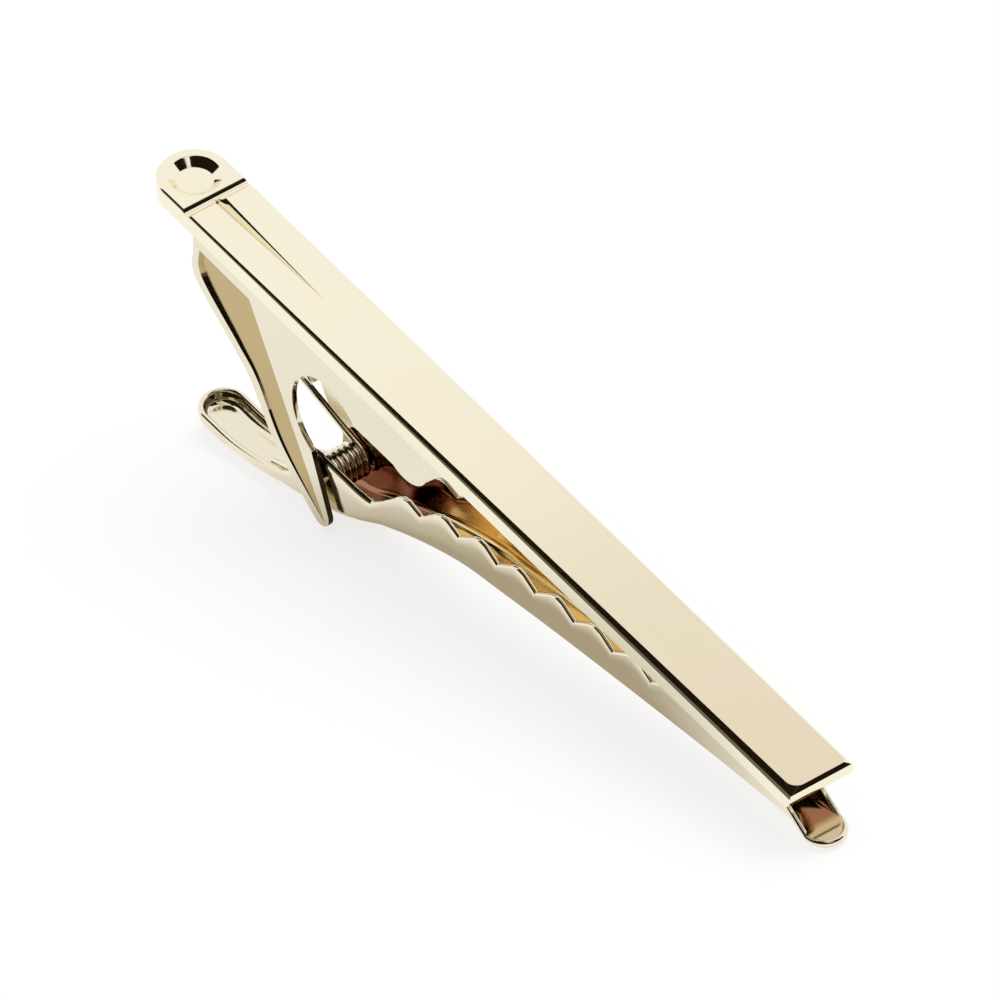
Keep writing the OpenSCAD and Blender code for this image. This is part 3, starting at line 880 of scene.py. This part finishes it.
def spring_path():
    """Middle line of the wire: its leg under the web, its coil and its leg in the thumb tab."""
    rise = math.radians(WEB_LEG_RISE)
    start = math.pi / 2 - rise
    x0, z0 = PIVOT[0] + COIL_R * math.cos(start), PIVOT[1] + COIL_R * math.sin(start)
    leg_end = Vector((x0 - WEB_LEG_L * math.cos(rise), COIL_HALF, z0 + WEB_LEG_L * math.sin(rise)))
    tab_x = PIVOT[0] - TAB_LEG_L
    tab_z = keel_at(tab_x) + SHEET_T + TAB_LEG_GAP + WIRE_D / 2
    tab_end = Vector((tab_x, TAB_LEG_IN - COIL_HALF, tab_z))
    to_end = (tab_x - PIVOT[0], tab_z - PIVOT[1])
    tab_angle = math.atan2(to_end[1], to_end[0]) + math.acos(COIL_R / math.hypot(*to_end))
    swept = 2 * math.pi * COIL_TURNS + (start - tab_angle) % (2 * math.pi)
    count = TURN_STEPS * COIL_TURNS
    coil = []
    for i in range(count + 1):
        a = start - swept * i / count
        coil.append(Vector((PIVOT[0] + COIL_R * math.cos(a), COIL_HALF * (1 - 2 * i / count),
                            PIVOT[1] + COIL_R * math.sin(a))))
    web_leg = [leg_end.lerp(coil[0], i / LEG_STEPS) for i in range(LEG_STEPS)]
    tab_leg = [coil[-1].lerp(tab_end, i / LEG_STEPS) for i in range(1, LEG_STEPS + 1)]
    return web_leg + coil + tab_leg


def wire_rows(path):
    """Rings of the wire's surface along its middle line, with each end drawn to a point."""
    width = WIRE_SIDES + 1
    rows = [[path[0]] * width]
    for i, p in enumerate(path):
        d = (path[min(i + 1, len(path) - 1)] - path[max(i - 1, 0)]).normalized()
        u = d.cross(Vector((0, 1, 0))).normalized()
        v = u.cross(d)
        angles = [2 * math.pi * k / WIRE_SIDES for k in range(width)]
        rows.append([p + (u * math.cos(a) + v * math.sin(a)) * WIRE_D / 2 for a in angles])
    return rows + [[path[-1]] * width]


def make_spring():
    spring = grid("torsion_spring_wound", wire_rows(spring_path()), merge=FINE_MERGE_DIST)
    shade(spring, WIRE_SHARP_ANGLE)
    spring.data.transform(STAND)
    spring.data.materials.append(wire_steel())
    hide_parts("torsion_spring")
    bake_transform(spring)


def make_pin():
    end = BAR_W / 2 - PIN_SUNK
    profile = [(0, -end), (PIN_R - PIN_EDGE, -end), (PIN_R, PIN_EDGE - end), (PIN_R, end - PIN_EDGE),
               (PIN_R - PIN_EDGE, end), (0, end)]
    pin = lathe("pivot_pin_staked", profile, (PIVOT[0], 0, PIVOT[1]), PIN_STEPS, "Y")
    shade(pin, PIN_SHARP_ANGLE)
    place(pin, "clip_body", "pivot_pin", "pin_gold", GOLD_SHEET)


make_bar()
make_bracket()
make_jaw()
make_spring()
make_pin()


# Camera at the photograph's viewing angle, from a fit to the bar's edges and ends
CAMERA_AZIMUTH = 53.0
CAMERA_ELEVATION = 45.67
CAMERA_ROLL = 0.42
CAMERA_DISTANCE = 1261.6
CAMERA_LENS_PX = 23653
CAMERA_SENSOR = 36
CAMERA_CLIP = (0.01, 20)
IMAGE_PX = 1000
CENTRE_PX = (492.5, 461.8)
AIM_X = 29


def make_camera():
    az, el, roll = (math.radians(a) for a in (CAMERA_AZIMUTH, CAMERA_ELEVATION, CAMERA_ROLL))
    back = Vector((math.sin(az) * math.cos(el), -math.cos(az) * math.cos(el), math.sin(el)))
    right = Vector((math.cos(az), math.sin(az), 0))
    up = back.cross(right)
    across = right * math.cos(roll) + up * math.sin(roll)
    upward = up * math.cos(roll) - right * math.sin(roll)
    per_px = CAMERA_DISTANCE / CAMERA_LENS_PX
    aim = Vector((AIM_X, 0, 0))
    aim += across * (IMAGE_PX / 2 - CENTRE_PX[0]) * per_px
    aim -= upward * (IMAGE_PX / 2 - CENTRE_PX[1]) * per_px
    turn = STAND.to_3x3().normalized()
    rows = Matrix((turn @ across, turn @ upward, turn @ back)).transposed().to_4x4()
    data = bpy.data.cameras.new("camera")
    data.sensor_width = CAMERA_SENSOR
    data.lens = CAMERA_LENS_PX / IMAGE_PX * data.sensor_width
    data.clip_start, data.clip_end = CAMERA_CLIP
    camera = bpy.data.objects.new("camera", data)
    SCENE.collection.objects.link(camera)
    camera.matrix_world = Matrix.Translation(STAND @ (aim + back * CAMERA_DISTANCE)) @ rows
    SCENE.camera = camera


make_camera()


# Studio, in metres
FLOOR_REACH = 6.0
FLOOR_PAINT = 0.3
FLOOR_GLOW = 0.72
WORLD_LIGHT = 0.62
WORLD_GLOW = 1.0
LAMP_ENERGY = 1.2
LAMP_ANGLE = 50
LAMP_TOWARD = (0.05, 0.35, 1.0)

SCREEN_R = 0.6
SCREEN_STEPS = 24
BLACK = (0.012, 0.009, 0.004)
OLIVE = (0.16, 0.145, 0.105)
# Stops of height share and colour: black cloth with an olive foot, and plain black cloth
FOOTED_CLOTH = [(0.22, OLIVE), (0.27, BLACK)]
BLACK_CLOTH = [(0.6, BLACK), (0.7, BLACK)]
# Dark screens round the clip: azimuths and elevations in degrees, and cloth
SCREENS = (
    ("screen_left", (-142, -90), (1, 78), FOOTED_CLOTH),
    ("screen_front", (-90, 52), (1, 42), FOOTED_CLOTH),
    ("screen_top", (-92, -8), (41, 78), BLACK_CLOTH),
    ("screen_corner", (20, 48), (41, 78), BLACK_CLOTH),
    ("screen_cap", (0, 360), (77, 90), BLACK_CLOTH))

CEILING_TOWARD = (-0.376, 0.42, 0.826)
CEILING_DISTANCE = 0.25
CEILING_REACH = 0.09
CEILING_SPAN = (-0.028, 0.03)
CEILING_TONES = [(0.35, (1, 1, 1)), (0.58, (0.975, 0.96, 0.945)), (0.78, (0.885, 0.855, 0.82)),
                 (1, (0.865, 0.8, 0.755))]

SHADE_REACH = (0.026, 0.0095)
SHADE_HEIGHT = 0.0001
SHADE_TONES = [(0.55, (0.45, 0.41, 0.325)), (0.95, (0.98, 0.98, 0.98))]


def emission(name):
    """Material that only glows, in white."""
    material = bpy.data.materials.new(name)
    material.use_nodes = True
    nodes, links = material.node_tree.nodes, material.node_tree.links
    nodes.clear()
    glow = nodes.new("ShaderNodeEmission")
    glow.inputs["Color"].default_value = (1, 1, 1, 1)
    glow.inputs["Strength"].default_value = 1.0
    out = nodes.new("ShaderNodeOutputMaterial")
    links.new(glow.outputs["Emission"], out.inputs["Surface"])
    return material


def seen_share(nodes, links):
    """One for what the eye and reflections see, and nothing for the light that is cast."""
    rays = nodes.new("ShaderNodeLightPath")
    seen = nodes.new("ShaderNodeMath")
    seen.operation = "MAXIMUM"
    links.new(rays.outputs["Is Camera Ray"], seen.inputs[0])
    links.new(rays.outputs["Is Glossy Ray"], seen.inputs[1])
    return seen.outputs["Value"]


def card(name, centre, reach):
    """Level rectangle round a centre."""
    corners = [(centre[0] + sx * reach[0], centre[1] + sy * reach[1], centre[2])
               for sx, sy in ((-1, -1), (1, -1), (1, 1), (-1, 1))]
    return new_piece(name, corners, [(0, 1, 2, 3)])


def pale_floor():
    """Pale matt paint that looks white, and takes a soft shadow."""
    material = bpy.data.materials.new("pale_floor")
    material.use_nodes = True
    nodes, links = material.node_tree.nodes, material.node_tree.links
    nodes.clear()
    paint = nodes.new("ShaderNodeBsdfDiffuse")
    paint.inputs["Color"].default_value = (FLOOR_PAINT, FLOOR_PAINT, FLOOR_PAINT, 1)
    glow = nodes.new("ShaderNodeEmission")
    strength = nodes.new("ShaderNodeMath")
    strength.operation = "MULTIPLY"
    strength.inputs[1].default_value = FLOOR_GLOW
    links.new(seen_share(nodes, links), strength.inputs[0])
    links.new(strength.outputs["Value"], glow.inputs["Strength"])
    both = nodes.new("ShaderNodeAddShader")
    links.new(paint.outputs["BSDF"], both.inputs[0])
    links.new(glow.outputs["Emission"], both.inputs[1])
    out = nodes.new("ShaderNodeOutputMaterial")
    links.new(both.outputs["Shader"], out.inputs["Surface"])
    return material


def make_floor():
    floor = card("floor", (0, 0, 0), (FLOOR_REACH, FLOOR_REACH))
    floor.data.materials.append(pale_floor())


def toned_emission(name, axis, low, high, stops):
    """Glow whose colour runs through stops of share and colour between two places on an axis."""
    material = emission(name)
    nodes, links = material.node_tree.nodes, material.node_tree.links
    links.new(colour_along(nodes, links, axis, low, high, stops), nodes["Emission"].inputs["Color"])
    return material


def reflected_only(thing, material):
    """Studio card that only reflections see."""
    thing.data.materials.append(material)
    thing.visible_camera = False
    thing.visible_diffuse = False
    thing.visible_shadow = False
    thing.visible_transmission = False


def make_screen(name, azimuths, elevations, cloth):
    """Curved dark screen round the clip, between two azimuths and two elevations in degrees."""
    rows = []
    for i in range(SCREEN_STEPS + 1):
        a = math.radians(azimuths[0] + (azimuths[1] - azimuths[0]) * i / SCREEN_STEPS)
        row = []
        for k in range(SCREEN_STEPS + 1):
            e = math.radians(elevations[0] + (elevations[1] - elevations[0]) * k / SCREEN_STEPS)
            row.append(SCREEN_R * Vector((math.cos(e) * math.cos(a), math.cos(e) * math.sin(a), math.sin(e))))
        rows.append(row)
    reflected_only(grid(name, rows), toned_emission(name + "_cloth", "Z", 0, SCREEN_R, cloth))


def make_ceiling():
    """Overhead card that shades off towards the clip's square end."""
    centre = Vector(CEILING_TOWARD) * CEILING_DISTANCE
    ends = [centre.x + x for x in CEILING_SPAN]
    ceiling = card("ceiling_card", centre, (CEILING_REACH, CEILING_REACH))
    reflected_only(ceiling, toned_emission("ceiling_cloth", "X", *ends, CEILING_TONES))


def shade_cloth():
    """Glow that is dark in the middle of an oval and fades out to its edge."""
    material = emission("shade_cloth")
    nodes, links = material.node_tree.nodes, material.node_tree.links
    where = nodes.new("ShaderNodeTexCoord")
    shrink = nodes.new("ShaderNodeMapping")
    shrink.vector_type = "TEXTURE"
    shrink.inputs["Location"].default_value = (0, 0, SHADE_HEIGHT)
    shrink.inputs["Scale"].default_value = (*SHADE_REACH, 1)
    links.new(where.outputs["Object"], shrink.inputs["Vector"])
    away = nodes.new("ShaderNodeVectorMath")
    away.operation = "LENGTH"
    links.new(shrink.outputs["Vector"], away.inputs[0])
    ramp = nodes.new("ShaderNodeValToRGB")
    fill_ramp(ramp, SHADE_TONES)
    links.new(away.outputs["Value"], ramp.inputs["Fac"])
    links.new(ramp.outputs["Color"], nodes["Emission"].inputs["Color"])
    return material


def make_floor_shade():
    """Darker ground close beside the clip, for its flanks to mirror, fading out all round."""
    reflected_only(card("floor_shade", (0, 0, SHADE_HEIGHT), SHADE_REACH), shade_cloth())


def make_world():
    """Even white surroundings that light a little less than they look."""
    world = bpy.data.worlds.new("studio")
    SCENE.world = world
    world.use_nodes = True
    nodes, links = world.node_tree.nodes, world.node_tree.links
    background = nodes["Background"]
    background.inputs["Color"].default_value = (1, 1, 1, 1)
    strength = nodes.new("ShaderNodeMapRange")
    strength.inputs["To Min"].default_value = WORLD_LIGHT
    strength.inputs["To Max"].default_value = WORLD_GLOW
    links.new(seen_share(nodes, links), strength.inputs["Value"])
    links.new(strength.outputs["Result"], background.inputs["Strength"])


def make_lamp():
    """Soft lamp from overhead, unseen in reflections."""
    data = bpy.data.lights.new("soft_key", "SUN")
    data.energy = LAMP_ENERGY
    data.angle = math.radians(LAMP_ANGLE)
    lamp = bpy.data.objects.new("soft_key", data)
    SCENE.collection.objects.link(lamp)
    lamp.rotation_euler = Vector(LAMP_TOWARD).to_track_quat("Z", "Y").to_euler()
    lamp.visible_glossy = False


make_world()
make_lamp()
make_floor()
for screen in SCREENS:
    make_screen(*screen)
make_floor_shade()
make_ceiling()

SCENE.view_settings.view_transform = "Standard"
